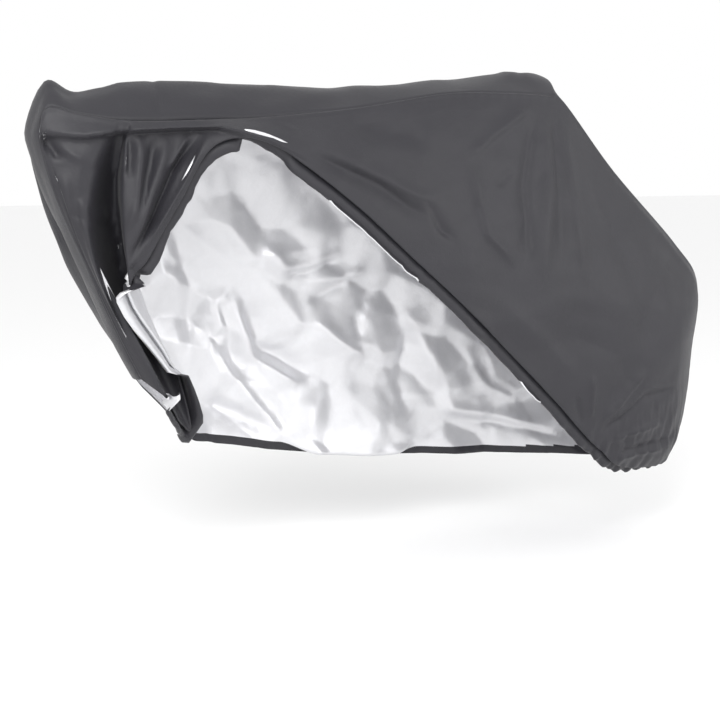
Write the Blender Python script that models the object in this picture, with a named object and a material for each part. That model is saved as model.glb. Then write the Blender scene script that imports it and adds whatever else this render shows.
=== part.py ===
"""A fitted cover for a bicycle: two side panels and a centre strip of coated cloth, hanging as if over the
bicycle, with the near side's front lifted. Metres, +Z up, +X to the rear wheel, -Y the near side."""
import bpy
import numpy as np

for old in list(bpy.data.objects):
    bpy.data.objects.remove(old)

CLOTH = 0.002               # thickness of the coated cloth
SEAM_GAP = 0.0010           # clearance between two pieces along a seam
HEM_DEEP = 0.034            # width of the turned strip along the near hem
HEM_SET_IN = 0.014          # how far the turned strip sits inside the panel's edge
STRIP_ROWS = 5              # rows across the centre strip
NEAR_ROWS = 14              # rows from the near seam to the near hem
FAR_ROWS = 10               # rows from the far seam to the far hem
STRIP_ROUND = 1.6           # how the strip falls from its crest to its seams: 1 is straight, 2 is round

BLACK_CLOTH = (0.030, 0.029, 0.034, 1.0)

# The centre strip in side view, from the front hem over the top to the rear hem: its crest, its near seam and
# its far seam. steps: sections up to the next row. half: half width of the strip.
SPINE = (
    # name         steps  crest x, z       half    near x, z        far x, z
    ("front_hem",    2, -0.655, -0.755, 0.045, -0.648, -0.751, -0.648, -0.751),
    ("front_low",    2, -0.712, -0.639, 0.052, -0.704, -0.635, -0.704, -0.635),
    ("front_mid",    3, -0.772, -0.500, 0.060, -0.764, -0.497, -0.763, -0.496),
    ("front_knee",   3, -0.862, -0.290, 0.070, -0.852, -0.287, -0.850, -0.286),
    ("front_high",   2, -0.902, -0.165, 0.074, -0.886, -0.160, -0.886, -0.162),
    ("nose",         2, -0.904, -0.100, 0.070, -0.888, -0.104, -0.888, -0.104),
    ("peak",         3, -0.857, +0.004, 0.070, -0.866, -0.062, -0.866, -0.054),
    ("dip",          3, -0.795, -0.013, 0.086, -0.800, -0.076, -0.800, -0.058),
    ("void_left",    2, -0.722, -0.006, 0.100, -0.722, -0.090, -0.722, -0.060),
    ("void_low",     2, -0.700, -0.002, 0.103, -0.700, -0.092, -0.700, -0.060),
    ("void_right",   2, -0.683, +0.002, 0.105, -0.683, -0.093, -0.683, -0.060),
    ("flap_left",    3, -0.664, +0.005, 0.107, -0.664, -0.094, -0.664, -0.060),
    ("flap_mid",     3, -0.590, +0.008, 0.112, -0.590, -0.093, -0.590, -0.058),
    ("flap_right",   3, -0.520, +0.009, 0.116, -0.520, -0.090, -0.520, -0.056),
    ("hook",         3, -0.455, +0.010, 0.118, -0.455, -0.087, -0.455, -0.054),
    ("grip",         3, -0.330, +0.013, 0.120, -0.330, -0.080, -0.330, -0.050),
    ("sag",          4, -0.060, +0.006, 0.120, -0.062, -0.052, -0.062, -0.046),
    ("back",         4, +0.217, +0.034, 0.116, +0.212, -0.009, +0.212, -0.010),
    ("saddle_nose",  4, +0.429, +0.053, 0.108, +0.424, -0.004, +0.424, +0.004),
    ("saddle_top",   2, +0.582, +0.054, 0.094, +0.552, -0.008, +0.552, +0.000),
    ("slope_high",   3, +0.622, -0.002, 0.086, +0.609, -0.022, +0.609, -0.020),
    ("slope_mid",    4, +0.800, -0.212, 0.086, +0.791, -0.220, +0.791, -0.220),
    ("slope_low",    3, +1.034, -0.432, 0.090, +1.024, -0.440, +1.024, -0.440),
    ("rear_knee",    3, +1.130, -0.560, 0.092, +1.117, -0.565, +1.117, -0.565),
    ("rear_mid",     3, +1.116, -0.760, 0.092, +1.104, -0.760, +1.104, -0.760),
    ("rear_low",     2, +1.100, -0.960, 0.086, +1.088, -0.958, +1.088, -0.958),
    ("rear_hem",     1, +1.060, -1.088, 0.070, +1.050, -1.083, +1.050, -1.083),
)

# Where the near panel ends below each section. bow: how far the section bends along X at mid height.
# belly: how far it stands out sideways at mid height.
NEAR_HEM = (
    # name            x       y       z      bow    belly
    ("front_hem",    -0.590, -0.075, -0.800, +0.000, +0.000),
    ("front_low",    -0.580, -0.070, -0.812, +0.000, +0.006),
    ("front_mid",    -0.572, -0.062, -0.822, +0.000, +0.012),
    ("front_knee",   -0.564, -0.052, -0.834, +0.000, +0.018),
    ("front_high",   -0.556, -0.040, -0.846, -0.010, +0.024),
    ("nose",         -0.548, -0.028, -0.858, -0.036, +0.030),
    ("peak",         -0.540, -0.014, -0.870, -0.070, +0.036),
    ("dip",          -0.530, +0.004, -0.880, -0.100, +0.044),
    ("void_left",    -0.518, +0.022, -0.892, -0.130, +0.050),
    ("void_low",     -0.490, +0.045, -0.908, -0.080, -0.060),
    ("void_right",   -0.550, +0.010, -0.720, -0.050, -0.060),
    ("flap_left",   -0.690, -0.120, -0.520, -0.030, +0.018),
    ("flap_mid",    -0.642, -0.136, -0.424, -0.006, +0.010),
    ("flap_right",  -0.570, -0.148, -0.300, +0.000, +0.008),
    ("hook",        -0.474, -0.160, -0.150, +0.000, +0.010),
    ("grip",        -0.330, -0.174, -0.148, +0.000, +0.010),
    ("sag",         -0.130, -0.196, -0.282, +0.000, +0.020),
    ("back",        +0.080, -0.212, -0.462, +0.000, +0.028),
    ("saddle_nose", +0.240, -0.216, -0.604, +0.000, +0.034),
    ("saddle_top",  +0.360, -0.214, -0.714, +0.010, +0.040),
    ("slope_high",  +0.440, -0.210, -0.790, +0.020, +0.044),
    ("slope_mid",   +0.545, -0.196, -0.890, +0.020, +0.056),
    ("slope_low",   +0.650, -0.178, -0.994, +0.010, +0.064),
    ("rear_knee",   +0.720, -0.164, -1.050, +0.000, +0.066),
    ("rear_mid",    +0.790, -0.144, -1.104, +0.000, +0.060),
    ("rear_low",    +0.900, -0.112, -1.130, +0.000, +0.040),
    ("rear_hem",    +1.010, -0.070, -1.138, +0.000, +0.012),
)

# Where the far panel ends below each section.
FAR_HEM = (
    # name            x       y       z      bow    belly
    ("front_hem",   -0.610, +0.070, -0.800, +0.000, +0.000),
    ("front_low",   -0.592, +0.090, -0.818, -0.010, +0.006),
    ("front_mid",   -0.572, +0.110, -0.838, -0.020, +0.014),
    ("front_knee",  -0.548, +0.132, -0.862, -0.040, +0.024),
    ("front_high",  -0.522, +0.152, -0.890, -0.050, +0.030),
    ("nose",        -0.498, +0.168, -0.916, -0.060, +0.034),
    ("peak",        -0.474, +0.182, -0.944, -0.060, +0.040),
    ("dip",         -0.446, +0.196, -0.974, -0.060, +0.044),
    ("void_left",   -0.414, +0.206, -0.986, -0.050, +0.048),
    ("void_low",    -0.396, +0.210, -0.990, -0.050, +0.048),
    ("void_right",  -0.380, +0.214, -0.994, -0.050, +0.050),
    ("flap_left",   -0.362, +0.218, -1.000, -0.040, +0.050),
    ("flap_mid",    -0.314, +0.228, -1.010, -0.030, +0.052),
    ("flap_right",  -0.264, +0.236, -1.022, -0.020, +0.052),
    ("hook",        -0.214, +0.244, -1.034, -0.010, +0.052),
    ("grip",        -0.110, +0.258, -1.054, +0.000, +0.050),
    ("sag",         +0.100, +0.276, -1.090, +0.000, +0.046),
    ("back",        +0.330, +0.280, -1.112, +0.000, +0.044),
    ("saddle_nose", +0.500, +0.272, -1.126, +0.000, +0.044),
    ("saddle_top",  +0.620, +0.262, -1.134, +0.010, +0.046),
    ("slope_high",  +0.690, +0.254, -1.140, +0.010, +0.048),
    ("slope_mid",   +0.780, +0.240, -1.146, +0.010, +0.052),
    ("slope_low",   +0.870, +0.222, -1.152, +0.000, +0.056),
    ("rear_knee",   +0.930, +0.204, -1.156, +0.000, +0.058),
    ("rear_mid",    +0.976, +0.180, -1.158, +0.000, +0.054),
    ("rear_low",    +1.012, +0.144, -1.156, +0.000, +0.036),
    ("rear_hem",    +1.036, +0.092, -1.148, +0.000, +0.012),
)

# The main folds, as lines in side view. out: how far the fold stands out, negative for a trough.
NEAR_FOLDS = (
    # name             x0      z0      x1      z1     width   out
    ("flap_fold_1",  -0.600, -0.150, -0.680, -0.440, 0.020, +0.016),
    ("flap_fold_2",  -0.550, -0.150, -0.640, -0.370, 0.016, -0.014),
    ("flap_fold_3",  -0.505, -0.140, -0.570, -0.290, 0.016, +0.012),
    ("flap_gutter",  -0.490, -0.190, -0.645, -0.440, 0.012, -0.010),
    ("nose_hollow",  -0.870, -0.160, -0.780, -0.330, 0.022, -0.012),
    ("sag_trough",   -0.110, -0.090, +0.140, -0.130, 0.040, -0.010),
    ("draw_1",       -0.240, -0.190, +0.110, -0.370, 0.020, -0.012),
    ("draw_2",       -0.170, -0.200, +0.120, -0.400, 0.016, +0.010),
    ("facet_left",   +0.520, -0.030, +0.270, -0.190, 0.020, +0.014),
    ("facet_drop",   +0.280, -0.200, +0.370, -0.500, 0.026, +0.010),
    ("facet_right",  +0.530, -0.050, +0.450, -0.420, 0.024, -0.014),
    ("saddle_drop",  +0.570, -0.060, +0.560, -0.440, 0.020, +0.012),
    ("gather_1",     +0.640, -0.980, +0.690, -0.760, 0.018, +0.012),
    ("gather_2",     +0.700, -1.000, +0.980, -0.860, 0.018, -0.012),
    ("gather_3",     +0.740, -1.050, +0.960, -1.000, 0.016, +0.012),
)
FAR_FOLDS = (
    # name             x0      z0      x1      z1     width   out
    ("lean_1",       -0.330, -0.480, -0.150, -0.860, 0.030, -0.024),
    ("lean_2",       -0.380, -0.640, -0.060, -1.000, 0.030, +0.022),
    ("lean_3",       -0.160, -0.860, +0.090, -0.900, 0.026, -0.020),
    ("cross_1",      -0.200, -0.420, +0.160, -0.560, 0.040, +0.024),
    ("cross_2",      +0.020, -0.620, +0.300, -0.720, 0.034, -0.020),
    ("drop_1",       +0.460, -0.180, +0.420, -0.980, 0.040, +0.024),
    ("drop_2",       +0.700, -0.340, +0.640, -1.040, 0.040, -0.022),
    ("pleat",        +0.520, -1.010, +0.860, -1.060, 0.022, +0.016),
)

# The ledge that the lifted cloth makes under the top: its lower edge in side view, and its overhang.
LEDGE = (
    # x        z      out
    (-0.900, -0.128, 0.012),
    (-0.850, -0.126, 0.022),
    (-0.790, -0.130, 0.030),
    (-0.700, -0.118, 0.034),
    (-0.580, -0.110, 0.034),
    (-0.460, -0.108, 0.026),
    (-0.330, -0.140, 0.010),
    (-0.200, -0.200, 0.000),
)
LEDGE_RISE = 0.070          # height over which the ledge swells out
LEDGE_FALL = 0.014          # height over which it falls back below its edge

BOW_HIGH = 1.3              # a section bends most above its middle: its bend near the seam
BOW_FADE = 0.6              # and how much less it bends towards the hem
SMOOTHINGS = 2              # passes that even out the facing of the cloth from section to section


def curve(table, sections):
    """Smooth values between the rows of a table, at each section along the cover."""
    values = np.array([row for row in table], float)
    last = len(values) - 1
    whole = np.minimum(sections.astype(int), last - 1)
    part = (sections - whole)[:, None]
    before = values[np.maximum(whole - 1, 0)]
    here = values[whole]
    ahead = values[whole + 1]
    after = values[np.minimum(whole + 2, last)]
    slope_here = (ahead - before) * 0.5
    slope_ahead = (after - here) * 0.5
    cubed = part ** 3
    squared = part ** 2
    return ((2 * cubed - 3 * squared + 1) * here + (cubed - 2 * squared + part) * slope_here
            + (3 * squared - 2 * cubed) * ahead + (cubed - squared) * slope_ahead)


def section_places():
    """The place of each section, counted in table rows, from the front hem to the rear hem."""
    places = []
    for row, (name, steps, *rest) in enumerate(SPINE[:-1]):
        for step in range(steps):
            places.append(row + step / steps)
    places.append(float(len(SPINE) - 1))
    return np.array(places)


def fold_height(x, z, folds):
    """How far all folds of a table stand out at points seen from the side."""
    height = np.zeros_like(x)
    for name, x0, z0, x1, z1, width, out in folds:
        along = ((x - x0) * (x1 - x0) + (z - z0) * (z1 - z0)) / ((x1 - x0) ** 2 + (z1 - z0) ** 2)
        nearest = np.clip(along, 0.0, 1.0)
        away = np.hypot(x - x0 - nearest * (x1 - x0), z - z0 - nearest * (z1 - z0))
        height += out * np.exp(-((away / width) ** 2)) * (1.0 - 0.5 * nearest)
    return height


def ledge_height(x, z):
    """The swelling of the lifted cloth above the ledge, and its fall below it."""
    table = np.array(LEDGE)
    edge = np.interp(x, table[:, 0], table[:, 1])
    out = np.interp(x, table[:, 0], table[:, 2])
    above = np.clip(1.0 - (z - edge) / LEDGE_RISE, 0.0, 1.0)
    below = np.clip(1.0 - (edge - z) / LEDGE_FALL, 0.0, 1.0)
    return out * np.where(z > edge, above ** 1.5, below)


def panel_rows(seam, hem_table, places, rows, side, folds):
    """The rows of a side panel, from just below its seam down to its hem."""
    ends = curve([row[1:] for row in hem_table], places)
    hem = ends[:, 0:3]
    bow = ends[:, 3]
    belly = ends[:, 4]
    out = []
    for row in range(1, rows + 1):
        down = row / rows
        arch = 4.0 * down * (1.0 - down)
        points = seam + (hem - seam) * down
        points[:, 0] += bow * arch * (BOW_HIGH - BOW_FADE * down)
        shift = belly * arch + fold_height(points[:, 0], points[:, 2], folds) * min(1.0, 4.0 * down)
        if side < 0:
            shift += ledge_height(points[:, 0], points[:, 2])
        points[:, 1] += side * shift
        out.append(points)
    return out


def build_grid():
    """All rows of the cover, from the near hem over the crest to the far hem, and where the strip lies."""
    places = section_places()
    spine = curve([row[2:] for row in SPINE], places)
    crest = np.stack([spine[:, 0], 0 * spine[:, 0], spine[:, 1]], axis=1)
    near_seam = np.stack([spine[:, 3], 0 * spine[:, 0], spine[:, 4]], axis=1)
    far_seam = np.stack([spine[:, 5], 0 * spine[:, 0], spine[:, 6]], axis=1)
    strip = []
    for row in range(STRIP_ROWS):
        across = -1.0 + 2.0 * row / (STRIP_ROWS - 1)
        fall = abs(across) ** STRIP_ROUND
        seam = near_seam if across < 0 else far_seam
        points = crest + (seam - crest) * fall
        points[:, 1] = across * spine[:, 2]
        strip.append(points)
    near = panel_rows(strip[0], NEAR_HEM, places, NEAR_ROWS, -1, NEAR_FOLDS)
    far = panel_rows(strip[-1], FAR_HEM, places, FAR_ROWS, +1, FAR_FOLDS)
    down = near[-1] - near[-3]
    down /= np.linalg.norm(down, axis=1)[:, None]
    recess = near[-1] - down * 0.004
    recess[:, 1] += HEM_SET_IN
    turned = near[-1] + down * HEM_DEEP
    turned[:, 1] += HEM_SET_IN * 1.3
    near += [recess, turned]
    grid = np.array(near[::-1] + strip + far)
    return grid, len(near), len(near) + STRIP_ROWS


def grid_normals(grid):
    """The outward direction of the cloth at every point of the grid."""
    along = np.gradient(grid, axis=1)
    across = np.gradient(grid, axis=0)
    normals = np.cross(along, across)
    normals /= np.linalg.norm(normals, axis=2)[:, :, None]
    for smoothing in range(SMOOTHINGS):
        padded = np.concatenate([normals[:, :1], normals, normals[:, -1:]], axis=1)
        normals = padded[:, :-2] + 2.0 * normals + padded[:, 2:]
        normals /= np.linalg.norm(normals, axis=2)[:, :, None]
    return normals


def sheet_object(name, outer, normals, colour):
    """A closed sheet of cloth between an outer grid and the same grid set in by the cloth's thickness."""
    rows, columns = outer.shape[:2]
    inner = outer - normals * CLOTH
    points = np.concatenate([outer.reshape(-1, 3), inner.reshape(-1, 3)])
    faces = []
    count = rows * columns
    for row in range(rows - 1):
        for column in range(columns - 1):
            a = row * columns + column
            b, c, d = a + 1, a + columns + 1, a + columns
            faces.append((a, b, c, d))
            faces.append((a + count, d + count, c + count, b + count))
    rim = [row * columns for row in range(rows)]
    rim += [(rows - 1) * columns + column for column in range(1, columns)]
    rim += [row * columns + columns - 1 for row in range(rows - 2, -1, -1)]
    rim += [column for column in range(columns - 2, 0, -1)]
    for here, ahead in zip(rim, rim[1:] + rim[:1]):
        if ahead % columns > here % columns:
            faces.append((here, ahead, here + count))
            faces.append((ahead, ahead + count, here + count))
        else:
            faces.append((here, ahead, ahead + count))
            faces.append((here, ahead + count, here + count))
    mesh = bpy.data.meshes.new(name)
    mesh.from_pydata([tuple(point) for point in points], [], faces)
    mesh.validate()
    mesh.update()
    material = bpy.data.materials.new(name)
    material.use_nodes = True
    shader = material.node_tree.nodes["Principled BSDF"]
    shader.inputs["Base Color"].default_value = colour
    shader.inputs["Roughness"].default_value = 0.62
    mesh.materials.append(material)
    made = bpy.data.objects.new(name, mesh)
    bpy.context.scene.collection.objects.link(made)
    return made


grid, strip_start, strip_end = build_grid()
normals = grid_normals(grid)


def set_back(edge, neighbour, facing):
    """The edge row of a piece, moved back from the seam by the clearance, at right angles to the cloth's facing."""
    step = neighbour - edge
    step -= facing * np.sum(step * facing, axis=1)[:, None]
    return edge + step / np.linalg.norm(step, axis=1)[:, None] * SEAM_GAP


near = grid[:strip_start + 1].copy()
far = grid[strip_end - 1:].copy()
near[-1] = set_back(near[-1], near[-2], normals[strip_start])
far[0] = set_back(far[0], far[1], normals[strip_end - 1])
sheet_object("near_side_panel", near, normals[:strip_start + 1], BLACK_CLOTH)
sheet_object("centre_strip", grid[strip_start:strip_end], normals[strip_start:strip_end], BLACK_CLOTH)
sheet_object("far_side_panel", far, normals[strip_end - 1:], BLACK_CLOTH)
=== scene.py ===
"""A bicycle cover of coated cloth, black outside and silver inside, hanging as if over a
bicycle, with the lower front of its near side lifted. Metres, +X to the rear wheel, -Y the
near side, +Z up."""
import math

import bpy
import numpy as np
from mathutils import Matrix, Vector


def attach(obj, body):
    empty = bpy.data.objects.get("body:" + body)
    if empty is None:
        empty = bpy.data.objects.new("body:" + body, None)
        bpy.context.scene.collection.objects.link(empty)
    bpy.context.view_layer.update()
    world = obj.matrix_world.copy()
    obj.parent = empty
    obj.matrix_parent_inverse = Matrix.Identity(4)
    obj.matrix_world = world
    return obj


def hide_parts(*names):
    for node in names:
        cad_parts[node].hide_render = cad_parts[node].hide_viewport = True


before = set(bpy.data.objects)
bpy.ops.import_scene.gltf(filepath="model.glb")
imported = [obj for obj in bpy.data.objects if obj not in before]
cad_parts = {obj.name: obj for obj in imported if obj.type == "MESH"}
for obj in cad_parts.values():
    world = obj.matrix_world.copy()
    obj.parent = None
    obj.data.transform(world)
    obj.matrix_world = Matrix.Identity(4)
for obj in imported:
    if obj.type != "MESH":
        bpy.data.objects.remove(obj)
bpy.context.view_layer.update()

# ------------------------------------------------------------------------------------------------
# CENTRE STRIP. The long strip of black coated cloth that joins the two side panels, from the
# front hem up the narrow front end, over the top, down the rear slope and the rear end. Made
# as a grid of sections, lifted into soft sags and tucks, then given the cloth's thickness.
# ------------------------------------------------------------------------------------------------
CLOTH = 0.0012                      # thickness of the cloth with its coating
STRIP_ROWS = 25                     # points across the strip
STRIP_ROUND = 1.7                   # fall from the crest to the seams: 1 is straight, 2 is round

# steps: sections up to the next row. half: half width of the strip.
SPINE = (
    # name        steps  crest x, z       half    near seam x, z   far seam x, z
    ("front_hem",    4, -0.655, -0.755, 0.045, -0.648, -0.751, -0.648, -0.751),
    ("front_low",    4, -0.712, -0.639, 0.052, -0.704, -0.635, -0.704, -0.635),
    ("front_mid",    5, -0.772, -0.500, 0.060, -0.764, -0.497, -0.763, -0.496),
    ("front_knee",   5, -0.862, -0.290, 0.070, -0.852, -0.287, -0.850, -0.286),
    ("front_high",   3, -0.902, -0.165, 0.074, -0.886, -0.160, -0.886, -0.162),
    ("nose",         4, -0.904, -0.100, 0.070, -0.888, -0.104, -0.888, -0.104),
    ("peak",         7, -0.857, +0.004, 0.070, -0.866, -0.062, -0.866, -0.054),
    ("dip",          7, -0.795, -0.013, 0.086, -0.800, -0.076, -0.800, -0.058),
    ("void_left",    6, -0.722, -0.006, 0.100, -0.722, -0.090, -0.722, -0.060),
    ("void_low",     5, -0.700, -0.002, 0.103, -0.700, -0.092, -0.700, -0.060),
    ("void_right",   5, -0.683, +0.002, 0.105, -0.683, -0.093, -0.683, -0.060),
    ("flap_left",   14, -0.664, +0.005, 0.107, -0.664, -0.094, -0.664, -0.060),
    ("flap_mid",    14, -0.590, +0.008, 0.112, -0.590, -0.093, -0.590, -0.058),
    ("flap_right",  12, -0.520, +0.009, 0.116, -0.520, -0.090, -0.520, -0.056),
    ("hook",        14, -0.455, +0.010, 0.118, -0.455, -0.087, -0.455, -0.054),
    ("grip",        22, -0.330, +0.013, 0.120, -0.330, -0.080, -0.330, -0.050),
    ("sag",         24, -0.060, +0.006, 0.120, -0.062, -0.052, -0.062, -0.046),
    ("back",        22, +0.217, +0.034, 0.116, +0.212, -0.009, +0.212, -0.010),
    ("saddle_nose", 18, +0.429, +0.053, 0.108, +0.424, -0.004, +0.424, +0.004),
    ("saddle_top",  10, +0.582, +0.054, 0.094, +0.552, -0.008, +0.552, +0.000),
    ("slope_high",  18, +0.622, -0.002, 0.086, +0.609, -0.022, +0.609, -0.020),
    ("slope_mid",   24, +0.800, -0.212, 0.086, +0.791, -0.220, +0.791, -0.220),
    ("slope_low",   14, +1.034, -0.432, 0.090, +1.024, -0.440, +1.024, -0.440),
    ("rear_knee",   16, +1.130, -0.560, 0.092, +1.117, -0.565, +1.117, -0.565),
    ("rear_mid",    14, +1.116, -0.760, 0.092, +1.104, -0.760, +1.104, -0.760),
    ("rear_low",    12, +1.100, -0.960, 0.086, +1.088, -0.958, +1.088, -0.958),
    ("rear_hem",     1, +1.060, -1.088, 0.070, +1.050, -1.083, +1.050, -1.083),
)


def sections_of(table):
    """The place of every section, counted in rows of the table."""
    places = []
    for row, entry in enumerate(table[:-1]):
        places += [row + section / entry[1] for section in range(entry[1])]
    return np.array(places + [len(table) - 1.0])


def eased(table, places):
    """Smooth values between the rows of a table."""
    values = np.array(table, float)
    last = len(values) - 1
    whole = np.minimum(places.astype(int), last - 1)
    part = (places - whole)[:, None]
    before, here = values[np.maximum(whole - 1, 0)], values[whole]
    ahead, after = values[whole + 1], values[np.minimum(whole + 2, last)]
    cubed, squared = part ** 3, part ** 2
    return ((2 * cubed - 3 * squared + 1) * here + (cubed - 2 * squared + part) * (ahead - before) / 2
            + (3 * squared - 2 * cubed) * ahead + (cubed - squared) * (after - here) / 2)


def unit(vectors):
    return vectors / np.maximum(np.linalg.norm(vectors, axis=-1, keepdims=True), 1e-9)


def facing(grid):
    """The outward direction of the cloth at every point of a grid of rows and sections."""
    across, along = np.gradient(grid, axis=0), np.gradient(grid, axis=1)
    return unit(np.cross(along, across))


def step(value, low, high):
    """0 below low, 1 above high, smooth between."""
    t = np.clip((value - low) / (high - low), 0.0, 1.0)
    return t * t * (3 - 2 * t)


def fold(x, z, path, width, out, lean=0.0, crisp=0.0, fade=0.25):
    """A ridge along a path in side view, or a trough where out is negative. lean makes one side
    steeper, crisp sharpens a soft swell to a crease, and fade is the share of its length over
    which it dies out."""
    blunt, blunt_root, steepness = 0.02, 0.1414, 1.5
    path = np.array(path, float)
    spans = np.linalg.norm(np.diff(path, axis=0), axis=1)
    total, run = spans.sum(), 0.0
    best, place, side = np.full(x.shape, 1e9), np.zeros(x.shape), np.zeros(x.shape)
    for (x0, z0), (x1, z1), span in zip(path[:-1], path[1:], spans):
        t = np.clip(((x - x0) * (x1 - x0) + (z - z0) * (z1 - z0)) / span ** 2, 0, 1)
        dx, dz = x - x0 - t * (x1 - x0), z - z0 - t * (z1 - z0)
        away = np.hypot(dx, dz)
        nearer = away < best
        best = np.where(nearer, away, best)
        place = np.where(nearer, (run + t * span) / total, place)
        side = np.where(nearer, np.sign((x1 - x0) * dz - (z1 - z0) * dx), side)
        run += span
    reach = width * (1 + lean * side)
    soft = np.exp(-((best / reach) ** 2))
    sharp = np.exp(-(np.sqrt((best / reach) ** 2 + blunt) - blunt_root) * steepness)
    ends = step(place, 0, fade) * step(1 - place, 0, fade) if fade else 1.0
    return out * ends * (crisp * sharp + (1 - crisp) * soft)


def facets(x, z, size, slope, turn, stretch, seed):
    """Facets that meet in crisp folds, as crumpled cloth has: how far each point stands out.
    It is the difference of two fields of distance to scattered points."""
    dice = np.random.default_rng(seed)
    a = math.radians(turn)
    p = np.stack([(x * math.cos(a) + z * math.sin(a)) / size,
                  (z * math.cos(a) - x * math.sin(a)) / (size * stretch)])
    total = np.zeros(x.shape)
    for sign in (1, -1):
        spread = [np.arange(math.floor(q.min()) - 1, math.ceil(q.max()) + 2) for q in p]
        cells = np.stack(np.meshgrid(*spread), -1)
        sites = cells.reshape(-1, 2) + dice.uniform(-0.45, 0.45, (cells.size // 2, 2))
        nearest = np.full(x.shape, 1e9)
        for sx, sz in sites:
            nearest = np.minimum(nearest, (p[0] - sx) ** 2 + (p[1] - sz) ** 2)
        total += sign * nearest
    return total * size * slope


def ripple(x, z, size, seed, octaves=3):
    """Smooth uneven swells between about -1 and 1, as sums of waves in all directions."""
    dice = np.random.default_rng(seed)
    waves, finer, full = 5, 1.8, 1.6
    total, reach = np.zeros(np.broadcast(x, z).shape), 0.0
    for octave in range(octaves):
        for _ in range(waves):
            turn, phase = dice.uniform(0, math.tau), dice.uniform(0, math.tau)
            length = size / finer ** octave * dice.uniform(0.75, 1.35)
            along = x * math.cos(turn) + z * math.sin(turn)
            total = total + np.sin(along * math.tau / length + phase) / finer ** octave
        reach += full / finer ** octave
    return total / (reach * full)


def softened(height, passes):
    """A height over the grid, evened out between neighbours."""
    for _ in range(passes):
        padded = np.pad(height, 1, mode="edge")
        above, below = padded[:-2, 1:-1], padded[2:, 1:-1]
        before, after = padded[1:-1, :-2], padded[1:-1, 2:]
        height = (above + below + before + after + 4 * height) / 8
    return height


def cloth_object(name, outer, materials, inner_black=None):
    """A closed sheet: an outer grid, the same grid set in by the cloth's thickness, and the cut
    edge. Faces of the outside take the first material, those of the inside the second, or the
    first where inner_black is true."""
    rows, columns = outer.shape[:2]
    count = rows * columns
    inner = outer - facing(outer) * CLOTH
    index = np.arange(count).reshape(rows, columns)
    quads = (index[:-1, :-1], index[:-1, 1:], index[1:, 1:], index[1:, :-1])
    a, b, c, d = (corner.reshape(-1) for corner in quads)
    faces = [np.stack([a, b, c, d], 1), np.stack([a, d, c, b], 1) + count]
    rim = np.concatenate([index[:, 0], index[-1, 1:], index[-2::-1, -1], index[0, -2:0:-1]])
    ahead = np.roll(rim, -1)
    faces.append(np.stack([rim, ahead, ahead + count, rim + count], 1))
    inside = np.ones(len(a), int)
    if inner_black is not None:
        inside[inner_black[:-1, :-1].reshape(-1)] = 0
    slots = np.concatenate([np.zeros(len(a), int), inside, np.zeros(len(rim), int)])
    mesh = bpy.data.meshes.new(name)
    points = np.concatenate([outer.reshape(-1, 3), inner.reshape(-1, 3)])
    mesh.from_pydata(points.tolist(), [], np.concatenate(faces).tolist())
    mesh.polygons.foreach_set("material_index", slots)
    mesh.polygons.foreach_set("use_smooth", np.ones(len(slots), bool))
    spans = np.linalg.norm(np.diff(outer, axis=0), axis=2).mean(1)
    widths = np.linalg.norm(np.diff(outer, axis=1), axis=2).mean(0)
    v, u = np.meshgrid(np.concatenate([[0], spans.cumsum()]),
                       np.concatenate([[0], widths.cumsum()]), indexing="ij")
    flat = np.tile(np.stack([u.reshape(-1), v.reshape(-1)], 1), (2, 1))
    corners = np.empty(len(mesh.loops), np.int32)
    mesh.loops.foreach_get("vertex_index", corners)
    mesh.uv_layers.new(name="flat").data.foreach_set("uv", flat[corners].reshape(-1))
    for material in materials:
        mesh.materials.append(material)
    mesh.update()
    made = bpy.data.objects.new(name, mesh)
    bpy.context.scene.collection.objects.link(made)
    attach(made, "root")
    return made


class Wire:
    """A shader socket that can be added to, multiplied and fed to other nodes."""

    def __init__(self, tree, socket):
        self.tree, self.socket = tree, socket

    def node(self, kind, settings=None, inputs=None, output=0):
        made = self.tree.nodes.new(kind)
        for name, value in (settings or {}).items():
            setattr(made, name, value)
        for name, value in (inputs or {}).items():
            if isinstance(value, Wire):
                self.tree.links.new(value.socket, made.inputs[name])
            else:
                made.inputs[name].default_value = value
        return Wire(self.tree, made.outputs[output])

    def maths(self, how, first, second=0.0):
        return self.node("ShaderNodeMath", {"operation": how}, {0: first, 1: second})

    def __add__(self, other):
        return self.maths("ADD", self, other)

    __radd__ = __add__

    def __mul__(self, other):
        return self.maths("MULTIPLY", self, other)

    __rmul__ = __mul__

    def __sub__(self, other):
        return self.maths("SUBTRACT", self, other)

    def __rsub__(self, other):
        return self.maths("SUBTRACT", other, self)

    def sine(self):
        return self.maths("SINE", self)

    def mixed(self, low, high):
        """A colour between low, where this is 0, and high, where it is 1."""
        return self.node("ShaderNodeMix", {"data_type": "RGBA"}, {0: self, 6: low, 7: high}, 2)

    def noise(self, scale, detail=3.0, rough=0.5, warp=0.0):
        return self.node("ShaderNodeTexNoise", {}, {"Vector": self, "Scale": scale, "Detail": detail,
                                                    "Roughness": rough, "Distortion": warp})


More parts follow.
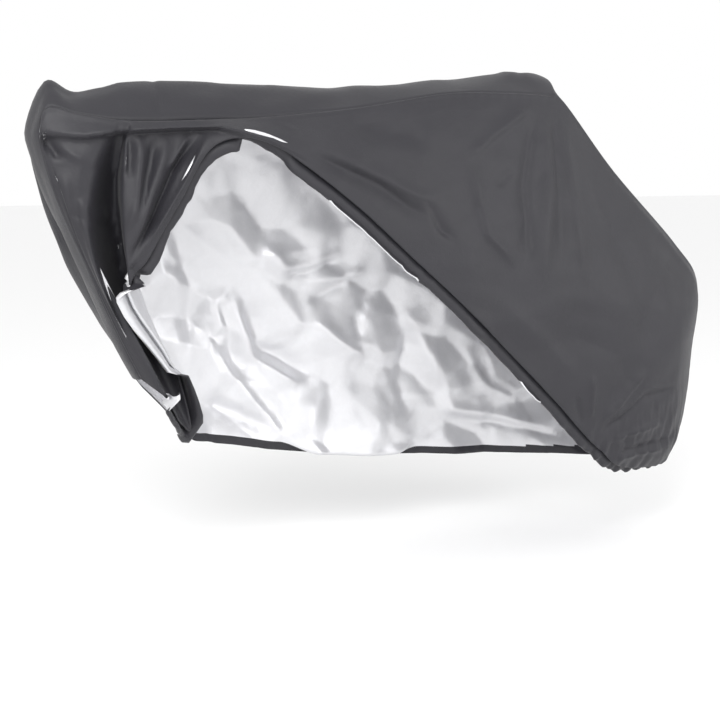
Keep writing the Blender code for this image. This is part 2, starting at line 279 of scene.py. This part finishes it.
def cloth_material(name, deep, pale, roughness, metallic, sheen, weave, crinkle, shine):
    """Woven coated cloth: a weave and small crinkles in relief, and uneven colour and gloss."""
    threads = 3900.0                # turns of the weave's waves in a metre, in radians
    fine_share, broad_share = 0.35, 0.7
    material = bpy.data.materials.new(name)
    material.use_nodes = True
    tree = material.node_tree
    shader = tree.nodes["Principled BSDF"]
    here = Wire(tree, None).node("ShaderNodeTexCoord", output=3)
    flat = Wire(tree, None).node("ShaderNodeUVMap", {"uv_map": "flat"})
    thread = flat.node("ShaderNodeSeparateXYZ", {}, {0: flat})
    other = Wire(tree, thread.socket.node.outputs[1])
    cross = (thread * threads).sine() * (other * threads).sine()
    broad = here.noise(3.2, 4.0, 0.55)
    small = here.noise(46.0, 4.0, 0.6, 0.6)
    fine = here.noise(170.0, 3.0, 0.6, 0.3)
    height = cross * weave + small * crinkle + fine * crinkle * fine_share
    relief = height.node("ShaderNodeBump", {}, {"Height": height, "Strength": 1.0, "Distance": 1.0})
    colour = (broad * broad_share + small * 0.3).mixed(deep, pale)
    gloss = broad * shine + (roughness - shine * 0.5)
    for socket, wire in (("Base Color", colour), ("Roughness", gloss), ("Normal", relief)):
        tree.links.new(wire.socket, shader.inputs[socket])
    shader.inputs["Metallic"].default_value = metallic
    shader.inputs["Sheen Weight"].default_value = sheen
    shader.inputs["Sheen Roughness"].default_value = 0.45
    shader.inputs["Specular IOR Level"].default_value = 0.42
    return material


black_cloth = cloth_material(
    "black_cloth", deep=(0.013, 0.0125, 0.016, 1), pale=(0.024, 0.023, 0.029, 1), roughness=0.50,
    metallic=0.0, sheen=0.06, weave=0.00006, crinkle=0.0007, shine=0.12)
silver_coat = cloth_material(
    "silver_coat", deep=(0.60, 0.60, 0.62, 1), pale=(0.80, 0.80, 0.82, 1), roughness=0.40,
    metallic=0.55, sheen=0.0, weave=0.00003, crinkle=0.0006, shine=0.10)

places = sections_of(SPINE)
spine = eased([row[2:] for row in SPINE], places)
flat_line = 0 * spine[:, 0]
crest = np.stack([spine[:, 0], flat_line, spine[:, 1]], 1)
near_line = np.stack([spine[:, 3], flat_line, spine[:, 4]], 1)
far_line = np.stack([spine[:, 5], flat_line, spine[:, 6]], 1)
strip_rows = []
for across in np.linspace(-1, 1, STRIP_ROWS):
    points = crest + ((near_line if across < 0 else far_line) - crest) * abs(across) ** STRIP_ROUND
    points[:, 1] = across * spine[:, 2]
    strip_rows.append(points)
strip = np.array(strip_rows)
near_seam, far_seam = strip[0].copy(), strip[-1].copy()

# The strip's tucks, seen from above, each only where the cloth is higher than low to high.
STRIP_TUCKS = (
    # path                             width    out    lean  crisp fade   low    high
    (((-0.60, -0.13), (-0.565, 0.13)), 0.010, -0.003, +0.2, 0.6, 0.00, -0.16, -0.10),
    (((0.440, -0.02), (0.500, 0.04)),  0.010, +0.004, +0.3, 0.7, 0.25, -0.10, +0.00),
    (((0.470, -0.05), (0.530, 0.02)),  0.010, -0.004, -0.3, 0.7, 0.25, -0.10, +0.00),
    (((-0.83, -0.06), (-0.76, 0.02)),  0.022, -0.006, +0.0, 0.6, 0.25, -0.10, -0.03),
)
x, y, z = strip[..., 0], strip[..., 1], strip[..., 2]
inside_edges = 1 - (np.abs(np.linspace(-1, 1, STRIP_ROWS))[:, None]) ** 4
lift = 0.004 * ripple(x, y * 1.4 + z, size=0.42, seed=3)
lift += facets(x - z * 0.7, y * 1.5, size=0.16, slope=0.05, turn=18, stretch=0.8, seed=11)
for *tuck, low, high in STRIP_TUCKS:
    lift += fold(x, y, *tuck) * step(z, low, high)
lift = softened(lift, 2) * inside_edges
strip = strip + facing(strip) * lift[..., None]
strip_object = cloth_object("strip_cloth", strip, (black_cloth, silver_coat))
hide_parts("centre_strip")

# ------------------------------------------------------------------------------------------------
# NEAR SIDE PANEL. The side panel whose lower front is lifted and laid over the grip: a ledge
# under the top, a hollow behind the front end, a fan of folds before the grip, then the broad
# side down to the gather at the rear. Its hem is rolled under, its silver showing along part.
# ------------------------------------------------------------------------------------------------
NEAR_ROWS = 138                     # points from the seam to the panel's lower edge
BOW_HIGH, BOW_FADE = 1.3, 0.6       # a section bends most above its middle

# bow: how far a section bends along X at mid height. belly: how far it stands out there.
NEAR_HEM = (
    # name            x       y       z      bow    belly
    ("front_hem",   -0.590, -0.075, -0.800, +0.000, +0.000),
    ("front_low",   -0.580, -0.070, -0.812, +0.000, +0.006),
    ("front_mid",   -0.572, -0.062, -0.822, +0.000, +0.012),
    ("front_knee",  -0.564, -0.052, -0.834, +0.000, +0.018),
    ("front_high",  -0.556, -0.040, -0.846, -0.010, +0.024),
    ("nose",        -0.548, -0.028, -0.858, -0.036, +0.030),
    ("peak",        -0.540, -0.014, -0.870, -0.070, +0.036),
    ("dip",         -0.530, +0.004, -0.880, -0.100, +0.044),
    ("void_left",   -0.518, +0.022, -0.892, -0.130, +0.050),
    ("void_low",    -0.490, +0.045, -0.908, -0.080, -0.060),
    ("void_right",  -0.550, +0.010, -0.720, -0.050, -0.060),
    ("flap_left",   -0.690, -0.120, -0.520, -0.030, +0.018),
    ("flap_mid",    -0.642, -0.136, -0.424, -0.006, +0.010),
    ("flap_right",  -0.570, -0.148, -0.300, +0.000, +0.008),
    ("hook",        -0.474, -0.160, -0.150, +0.000, +0.010),
    ("grip",        -0.330, -0.174, -0.148, +0.000, +0.010),
    ("sag",         -0.130, -0.196, -0.282, +0.000, +0.020),
    ("back",        +0.080, -0.212, -0.462, +0.000, +0.028),
    ("saddle_nose", +0.240, -0.216, -0.604, +0.000, +0.034),
    ("saddle_top",  +0.360, -0.214, -0.714, +0.010, +0.040),
    ("slope_high",  +0.440, -0.210, -0.790, +0.020, +0.044),
    ("slope_mid",   +0.545, -0.196, -0.890, +0.020, +0.056),
    ("slope_low",   +0.650, -0.178, -0.994, +0.010, +0.064),
    ("rear_knee",   +0.720, -0.164, -1.050, +0.000, +0.066),
    ("rear_mid",    +0.790, -0.144, -1.104, +0.000, +0.060),
    ("rear_low",    +0.900, -0.112, -1.130, +0.000, +0.040),
    ("rear_hem",    +1.010, -0.070, -1.138, +0.000, +0.012),
)

# The folds, in side view. out is negative for a trough.
NEAR_FOLDS = (
    # path                                                                 width   out    lean  crisp
    # the fan of folds under the ledge
    (((-0.692, -0.120), (-0.698, -0.230)),                                 0.007, +0.012, +0.0, 0.5),
    (((-0.676, -0.120), (-0.688, -0.240)),                                 0.008, -0.012, +0.0, 0.5),
    (((-0.652, -0.115), (-0.672, -0.285), (-0.699, -0.370)),               0.013, +0.016, +0.3, 0.4),
    (((-0.611, -0.120), (-0.646, -0.250), (-0.668, -0.330)),               0.010, -0.016, -0.2, 0.6),
    (((-0.578, -0.120), (-0.647, -0.298), (-0.688, -0.420)),               0.016, +0.018, +0.3, 0.4),
    (((-0.506, -0.120), (-0.574, -0.218), (-0.628, -0.330), (-0.700, -0.450)), 0.011, -0.024, -0.3, 0.6),
    (((-0.530, -0.120), (-0.590, -0.215)),                                 0.008, +0.010, +0.2, 0.6),
    (((-0.485, -0.118), (-0.547, -0.232), (-0.616, -0.345), (-0.655, -0.415)), 0.010, +0.014, +0.2, 0.5),
    (((-0.742, -0.300), (-0.722, -0.345)),                                 0.014, +0.012, +0.0, 0.4),
    (((-0.690, -0.445), (-0.668, -0.475)),                                 0.010, -0.012, +0.0, 0.6),
    # the narrow front part between the front end and the hollow
    (((-0.886, -0.130), (-0.861, -0.158), (-0.840, -0.190)),               0.014, -0.014, +0.2, 0.5),
    (((-0.862, -0.150), (-0.787, -0.196)),                                 0.012, +0.008, +0.3, 0.7),
    (((-0.782, -0.190), (-0.800, -0.300)),                                 0.016, -0.009, +0.3, 0.4),
    (((-0.833, -0.314), (-0.775, -0.344)),                                 0.007, -0.005, +0.2, 0.8),
    (((-0.840, -0.200), (-0.822, -0.420)),                                 0.018, +0.008, +0.0, 0.4),
    # the broad side
    (((-0.119, -0.090), (-0.002, -0.110), (+0.134, -0.127)),               0.040, -0.012, +0.2, 0.0),
    (((-0.423, -0.060), (-0.330, -0.090), (-0.232, -0.116)),               0.020, -0.008, -0.3, 0.3),
    (((-0.245, -0.163), (-0.031, -0.254), (+0.044, -0.308), (+0.136, -0.350)), 0.024, -0.015, -0.4, 0.4),
    (((-0.180, -0.170), (+0.020, -0.262), (+0.150, -0.310)),               0.020, +0.009, +0.2, 0.4),
    (((+0.094, -0.282), (+0.147, -0.379), (+0.190, -0.405)),               0.016, -0.010, +0.3, 0.6),
    (((+0.491, -0.033), (+0.340, -0.120), (+0.236, -0.191)),               0.016, +0.009, -0.4, 0.6),
    (((+0.236, -0.191), (+0.262, -0.262), (+0.287, -0.392), (+0.349, -0.447), (+0.389, -0.496)),
                                                                           0.018, +0.009, +0.4, 0.6),
    (((+0.389, -0.500), (+0.428, -0.450), (+0.427, -0.258), (+0.460, -0.139), (+0.500, -0.040)),
                                                                           0.022, -0.012, +0.4, 0.5),
    (((+0.323, -0.265), (+0.400, -0.211)),                                 0.010, -0.005, +0.0, 0.7),
    (((+0.530, -0.050), (+0.505, -0.300), (+0.470, -0.560)),               0.026, +0.009, -0.2, 0.3),
    (((+0.560, -0.044), (+0.545, -0.260), (+0.539, -0.500)),               0.018, -0.007, +0.2, 0.4),
    (((+0.590, -0.060), (+0.600, -0.300), (+0.620, -0.560)),               0.020, +0.007, +0.2, 0.4),
    (((+0.640, -0.150), (+0.800, -0.520), (+0.880, -0.820)),               0.050, -0.008, +0.3, 0.1),
    (((+0.300, -0.560), (+0.480, -0.700), (+0.620, -0.840)),               0.040, +0.007, -0.3, 0.2),
    (((+0.960, -0.480), (+0.900, -0.700), (+0.800, -0.960)),               0.045, +0.008, +0.3, 0.2),
    (((+0.090, -0.130), (+0.250, -0.330), (+0.330, -0.600)),               0.060, -0.006, +0.2, 0.1),
    # the creases that run together at the rear bottom
    (((+0.655, -0.950), (+0.655, -0.880), (+0.650, -0.800)),               0.010, +0.009, +0.3, 0.7),
    (((+0.624, -0.955), (+0.594, -0.860)),                                 0.009, -0.007, +0.0, 0.7),
    (((+0.680, -0.990), (+0.771, -0.948), (+0.846, -0.887), (+0.995, -0.868)), 0.013, -0.012, -0.3, 0.7),
    (((+0.690, -0.965), (+0.760, -0.900), (+0.850, -0.800)),               0.014, +0.010, +0.3, 0.6),
    (((+0.720, -1.025), (+0.817, -0.999), (+0.960, -0.975)),               0.012, +0.010, +0.3, 0.7),
    (((+0.750, -1.060), (+0.890, -1.046), (+1.020, -1.030)),               0.010, -0.010, +0.0, 0.7),
    (((+0.765, -1.085), (+0.872, -1.072), (+0.980, -1.070)),               0.009, +0.008, +0.0, 0.7),
)

# The ledge of lifted cloth under the top: its lower edge in side view, and its overhang.
LEDGE = (
    # x        z      out
    (-0.900, -0.128, 0.010),
    (-0.850, -0.127, 0.020),
    (-0.790, -0.132, 0.030),
    (-0.700, -0.118, 0.036),
    (-0.580, -0.110, 0.036),
    (-0.460, -0.106, 0.028),
    (-0.330, -0.140, 0.010),
    (-0.200, -0.200, 0.000),
)
LEDGE_RISE, LEDGE_FALL = 0.075, 0.010   # height it swells out over, and height it falls back over

# The hem, from the panel's edge: down along the cloth, and inward. It turns up, comes down again as a rolled
# strip, and ends in a curl.
HEM_ROLL = (
    (+0.0020, 0.0010), (+0.0030, 0.0035), (+0.0005, 0.0065), (-0.0060, 0.0085), (-0.0120, 0.0100),
    (-0.0150, 0.0125), (-0.0120, 0.0150), (-0.0050, 0.0155), (+0.0030, 0.0140), (+0.0100, 0.0115),
    (+0.0170, 0.0100), (+0.0240, 0.0105), (+0.0300, 0.0130), (+0.0335, 0.0165),
)
HEM_CURL_IN = ((+0.0340, 0.0205), (+0.0310, 0.0235), (+0.0250, 0.0240))
HEM_CURL_OUT = ((+0.0370, 0.0150), (+0.0395, 0.0110), (+0.0370, 0.0085))


def panel_grid(seam, hem_table, rows, seam_rows=(0.0, 0.002, 0.005, 0.009, 0.014)):
    """The sections of a side panel as rows of points, close together by the seam. Also how far
    down each point is, as a share and as a length, and how far the panel's belly stands out."""
    ends = eased([row[1:] for row in hem_table], places)
    hem, bow, belly = ends[:, :3], ends[:, 3], ends[:, 4]
    length = np.linalg.norm(hem - seam, axis=1)
    near = np.array(seam_rows)[:, None] / length
    rest = np.linspace(0, 1, rows - len(seam_rows) + 1)[1:, None]
    down = np.concatenate([near, near[-1] + (1 - near[-1]) * rest])
    grid = seam + (hem - seam) * down[..., None]
    arch = 4 * down * (1 - down)
    grid[..., 0] += bow * arch * (BOW_HIGH - BOW_FADE * down)
    return grid, down, belly * arch, length * down


def ledge(x, z):
    """How far the ledge stands out at each point."""
    edge, out = (np.interp(x, [r[0] for r in LEDGE], [r[k] for r in LEDGE]) for k in (1, 2))
    above = np.clip(1 - (z - edge) / LEDGE_RISE, 0, 1) ** 1.5
    below = np.clip(1 - (edge - z) / LEDGE_FALL, 0, 1)
    return out * np.where(z > edge, above, below)


near, _, swell, run = panel_grid(near_seam, NEAR_HEM, NEAR_ROWS)
x, z = near[..., 0].copy(), near[..., 2].copy()
held = np.minimum(1, run / 0.05)                        # the seam holds the cloth for 5 cm
height = sum(fold(x, z, *row) for row in NEAR_FOLDS)
broad = step(x, -0.35, -0.15)
height = height + broad * facets(x, z, size=0.34, slope=0.045, turn=35, stretch=0.8, seed=21)
height = height + (0.3 + 0.7 * broad) * 0.0022 * ripple(x, z, size=0.20, seed=5)
front_facets = facets(x, z, size=0.09, slope=0.06, turn=20, stretch=1.6, seed=22)
height = height + (1 - broad) * front_facets
gathered = step(x, 0.60, 0.72) * step(-z, 0.80, 1.10)
height = height + gathered * 0.006 * ripple(x * 1.6, z * 0.6, size=0.09, seed=8)
swell = swell + 0.010 * step(places, 20.5, 22)[None, :] * step(run, 0, 0.03)
PUCKER_STEP, PUCKER_RISE = 0.036, 0.0011                # puckers where the seam is sewn
along_seam = np.cumsum(np.linalg.norm(np.gradient(near_seam, axis=0), axis=1))
puckers = PUCKER_RISE * np.sin(along_seam * math.tau / PUCKER_STEP)
height = softened(height, 1) * held + swell + puckers * np.exp(-run / 0.02) * step(run, 0.0, 0.006)
height = height + 0.0012 * step(run, 0.0005, 0.002) * (1 - step(run, 0.008, 0.0105))
near[..., 1] -= height
near[..., 1] -= ledge(near[..., 0], near[..., 2])

# The hem's own directions at every section: along it, down the cloth, and inward.
edge = near[-1]
tangent = np.gradient(edge, axis=0)
for _ in range(4):
    evened = (tangent[:-2] + 2 * tangent[1:-1] + tangent[2:]) / 4
    tangent = np.concatenate([tangent[:1], evened, tangent[-1:]])
tangent = unit(tangent)
fall = unit(near[-1] - near[-8])
inward = np.cross(tangent, fall)
inward = unit(inward * np.sign(inward[:, 1:2]))
fall = np.cross(inward, tangent)
fall = unit(fall * np.sign((fall * (near[-1] - near[-8])).sum(1))[:, None])
curl_out = (step(edge[:, 0], -0.17, -0.13) * (1 - step(edge[:, 0], 0.09, 0.12))
            + step(edge[:, 0], 0.42, 0.46) * (1 - step(edge[:, 0], 0.49, 0.53)))
crinkled = step(edge[:, 0], 0.00, 0.06) * (1 - step(edge[:, 0], 0.16, 0.26)) + 0.25
crinkle = crinkled * ripple(edge[:, 0], edge[:, 2], size=0.045, seed=31)
hem_rows = []
for number, (drop, inset) in enumerate(HEM_ROLL):
    share = number / len(HEM_ROLL)
    hem_rows.append(edge + fall * (drop + 0.004 * share * crinkle)[:, None]
                    + inward * (inset - 0.004 * share * np.roll(crinkle, 3))[:, None])
for (drop_in, inset_in), (drop_out, inset_out) in zip(HEM_CURL_IN, HEM_CURL_OUT):
    drop = drop_in + (drop_out - drop_in) * curl_out + 0.004 * crinkle
    inset = inset_in + (inset_out - inset_in) * curl_out - 0.004 * np.roll(crinkle, 3)
    hem_rows.append(edge + fall * drop[:, None] + inward * inset[:, None])
near = np.concatenate([near, np.array(hem_rows)])
near_object = cloth_object("near_side_cloth", near[::-1], (black_cloth, silver_coat))
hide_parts("near_side_panel")

# ------------------------------------------------------------------------------------------------
# FAR SIDE PANEL. The other side, hanging to a level hem. Its silver inside shows under the
# lifted side, crumpled into folds, with the black cloth turned in along the hem.
# ------------------------------------------------------------------------------------------------
FAR_ROWS = 150
HEM_BAND = 0.030                    # width of the black cloth turned in along the hem

FAR_HEM = (
    # name            x       y       z      bow    belly
    ("front_hem",   -0.610, +0.070, -0.800, +0.000, +0.000),
    ("front_low",   -0.592, +0.090, -0.818, -0.010, +0.006),
    ("front_mid",   -0.572, +0.110, -0.838, -0.020, +0.014),
    ("front_knee",  -0.548, +0.132, -0.862, -0.040, +0.024),
    ("front_high",  -0.522, +0.152, -0.890, -0.050, +0.030),
    ("nose",        -0.498, +0.168, -0.916, -0.060, +0.034),
    ("peak",        -0.474, +0.182, -0.944, -0.060, +0.040),
    ("dip",         -0.446, +0.196, -0.974, -0.060, +0.044),
    ("void_left",   -0.414, +0.206, -0.986, -0.050, +0.048),
    ("void_low",    -0.396, +0.210, -0.990, -0.050, +0.048),
    ("void_right",  -0.380, +0.214, -0.994, -0.050, +0.050),
    ("flap_left",   -0.362, +0.218, -1.000, -0.040, +0.050),
    ("flap_mid",    -0.314, +0.228, -1.010, -0.030, +0.052),
    ("flap_right",  -0.264, +0.236, -1.022, -0.020, +0.052),
    ("hook",        -0.214, +0.244, -1.034, -0.010, +0.052),
    ("grip",        -0.110, +0.258, -1.054, +0.000, +0.050),
    ("sag",         +0.100, +0.276, -1.090, +0.000, +0.046),
    ("back",        +0.330, +0.280, -1.112, +0.000, +0.044),
    ("saddle_nose", +0.500, +0.272, -1.126, +0.000, +0.044),
    ("saddle_top",  +0.620, +0.262, -1.134, +0.010, +0.046),
    ("slope_high",  +0.690, +0.254, -1.140, +0.010, +0.048),
    ("slope_mid",   +0.780, +0.240, -1.146, +0.010, +0.052),
    ("slope_low",   +0.870, +0.222, -1.152, +0.000, +0.056),
    ("rear_knee",   +0.930, +0.204, -1.156, +0.000, +0.058),
    ("rear_mid",    +0.976, +0.180, -1.158, +0.000, +0.054),
    ("rear_low",    +1.012, +0.144, -1.156, +0.000, +0.036),
    ("rear_hem",    +1.036, +0.092, -1.148, +0.000, +0.012),
)

# out is negative where the fold stands into the hollow.
FAR_FOLDS = (
    # path                                                                 width   out    lean  crisp
    (((-0.298, -0.559), (-0.254, -0.683), (-0.225, -0.767), (-0.093, -0.844), (-0.029, -0.871)),
                                                                           0.040, -0.026, -0.5, 0.8),
    (((-0.270, -0.590), (-0.215, -0.730), (-0.080, -0.815), (+0.000, -0.840)), 0.034, +0.022, +0.4, 0.5),
    (((-0.360, -0.712), (-0.287, -0.824), (-0.180, -0.960), (-0.117, -1.027)), 0.036, -0.022, -0.4, 0.8),
    (((-0.345, -0.575), (-0.309, -0.674), (-0.300, -0.750), (-0.287, -0.824)), 0.026, +0.016, +0.3, 0.8),
    (((-0.370, -0.700), (-0.312, -0.682)),                                 0.018, +0.010, +0.2, 0.8),
    (((-0.403, -0.871), (-0.310, -0.910), (-0.168, -0.985)),               0.034, +0.020, -0.3, 0.5),
    (((-0.217, -0.410), (-0.144, -0.500), (-0.080, -0.500), (+0.060, -0.450)), 0.036, -0.022, -0.3, 0.8),
    (((-0.150, -0.520), (-0.060, -0.515), (+0.050, -0.480)),               0.030, +0.022, +0.3, 0.6),
    (((-0.072, -0.551), (+0.146, -0.518)),                                 0.026, -0.016, +0.3, 0.8),
    (((-0.060, -0.610), (+0.080, -0.545)),                                 0.022, +0.012, +0.0, 0.8),
    (((-0.040, -0.660), (+0.050, -0.730), (+0.150, -0.800)),               0.030, -0.022, -0.4, 0.8),
    (((+0.170, -0.560), (+0.110, -0.660), (+0.120, -0.760)),               0.030, +0.018, +0.3, 0.7),
    (((+0.250, -0.620), (+0.340, -0.760), (+0.400, -0.900)),               0.034, -0.018, +0.4, 0.7),
    (((+0.300, -0.700), (+0.260, -0.880), (+0.300, -1.000)),               0.030, +0.016, +0.3, 0.7),
    (((+0.480, -0.760), (+0.560, -0.900), (+0.700, -0.980)),               0.032, -0.018, -0.3, 0.7),
    (((+0.360, -0.960), (+0.600, -1.010), (+0.820, -1.070)),               0.024, -0.016, +0.3, 0.7),
    (((+0.420, -1.000), (+0.664, -1.045), (+0.881, -1.110)),               0.016, +0.012, +0.0, 0.7),
    (((-0.500, -0.300), (-0.420, -0.560), (-0.430, -0.780)),               0.050, +0.016, +0.3, 0.4),
    (((-0.700, -0.250), (-0.620, -0.480), (-0.540, -0.700)),               0.050, -0.014, +0.3, 0.4),
    (((+0.540, -0.080), (+0.480, -0.400), (+0.420, -0.640)),               0.060, +0.020, +0.3, 0.3),
    (((+0.640, -0.160), (+0.700, -0.480), (+0.760, -0.820)),               0.060, -0.016, -0.3, 0.3),
)

far, down, swell, run = panel_grid(far_seam, FAR_HEM, FAR_ROWS)
x, z = far[..., 0].copy(), far[..., 2].copy()
held = np.minimum(1, run / 0.06)                        # the seam holds the cloth for 6 cm
height = sum(fold(x, z, *row) for row in FAR_FOLDS)
loose = step(-z, 0.22, 0.46)
height = height + facets(
    x, z, size=0.21, slope=0.17, turn=-38, stretch=0.7, seed=41) * (0.45 + 0.55 * loose)
height = height + facets(
    x, z, size=0.10, slope=0.09, turn=25, stretch=1.3, seed=42) * (0.3 + 0.7 * loose)
height = height + 0.003 * ripple(x, z, size=0.16, seed=43)
height = softened(height, 1) * held + swell
height = height - 0.012 * step(down, 0.9, 1.0)
# Cloth bags out over the hem in the middle.
billow = step(x, -0.16, -0.04) * (1 - step(x, 0.22, 0.34))
bag = billow * step(down, 0.78, 0.93) * (1 - step(down, 0.965, 0.995))
far[..., 1] += height - 0.050 * bag
far[..., 2] -= 0.030 * bag
length = run[-1]
band = (length - run) < HEM_BAND
far_object = cloth_object("far_side_cloth", far, (black_cloth, silver_coat), inner_black=band)
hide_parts("far_side_panel")

# ------------------------------------------------------------------------------------------------
# ROOM. A plain white floor, a white surround, two soft studio lights, and the camera.
# ------------------------------------------------------------------------------------------------
FLOOR_Z, FLOOR_HALF = -1.36, 30
AIM = Vector((0.0, 0.0, -0.75))
AZIMUTH, ELEVATION, DISTANCE = -25.0, 9.0, 3.6

white = bpy.data.materials.new("backdrop")
white.use_nodes = True
paint = white.node_tree.nodes["Principled BSDF"]
paint.inputs["Base Color"].default_value = (0.92, 0.92, 0.92, 1)
paint.inputs["Roughness"].default_value = 0.9
floor_mesh = bpy.data.meshes.new("floor")
floor_corners = [(x * FLOOR_HALF, y * FLOOR_HALF, FLOOR_Z)
                 for x, y in ((-1, -1), (1, -1), (1, 1), (-1, 1))]
floor_mesh.from_pydata(floor_corners, [], [(0, 1, 2, 3)])
floor_mesh.materials.append(white)
floor = bpy.data.objects.new("floor", floor_mesh)
bpy.context.scene.collection.objects.link(floor)

world = bpy.data.worlds.new("room")
world.use_nodes = True
world.node_tree.nodes["Background"].inputs["Color"].default_value = (1, 1, 1, 1)
world.node_tree.nodes["Background"].inputs["Strength"].default_value = 1.0
bpy.context.scene.world = world
bpy.context.scene.view_settings.view_transform = "Standard"

LIGHTS_AIM = Vector((0, 0, -0.6))
LIGHTS = (
    # name     place                 size  watts
    ("key",  (-2.6, -3.4, 2.2),      2.4,  160),
    ("fill", (+2.4, -3.0, 0.4),      2.0,   40),
)
for name, place, size, watts in LIGHTS:
    lamp = bpy.data.lights.new(name, "AREA")
    lamp.size, lamp.energy = size, watts
    lamp_object = bpy.data.objects.new(name, lamp)
    lamp_object.location = place
    lamp_object.rotation_euler = (LIGHTS_AIM - Vector(place)).to_track_quat("-Z", "Y").to_euler()
    bpy.context.scene.collection.objects.link(lamp_object)

camera = bpy.data.cameras.new("camera")
camera.lens, camera.sensor_width = 63.36, 36.0
camera_object = bpy.data.objects.new("camera", camera)
a, e = math.radians(AZIMUTH), math.radians(ELEVATION)
back = Vector((math.sin(a) * math.cos(e), -math.cos(a) * math.cos(e), math.sin(e)))
camera_object.location = AIM + back * DISTANCE
camera_object.rotation_euler = (-back).to_track_quat("-Z", "Y").to_euler()
bpy.context.scene.collection.objects.link(camera_object)
bpy.context.scene.camera = camera_object
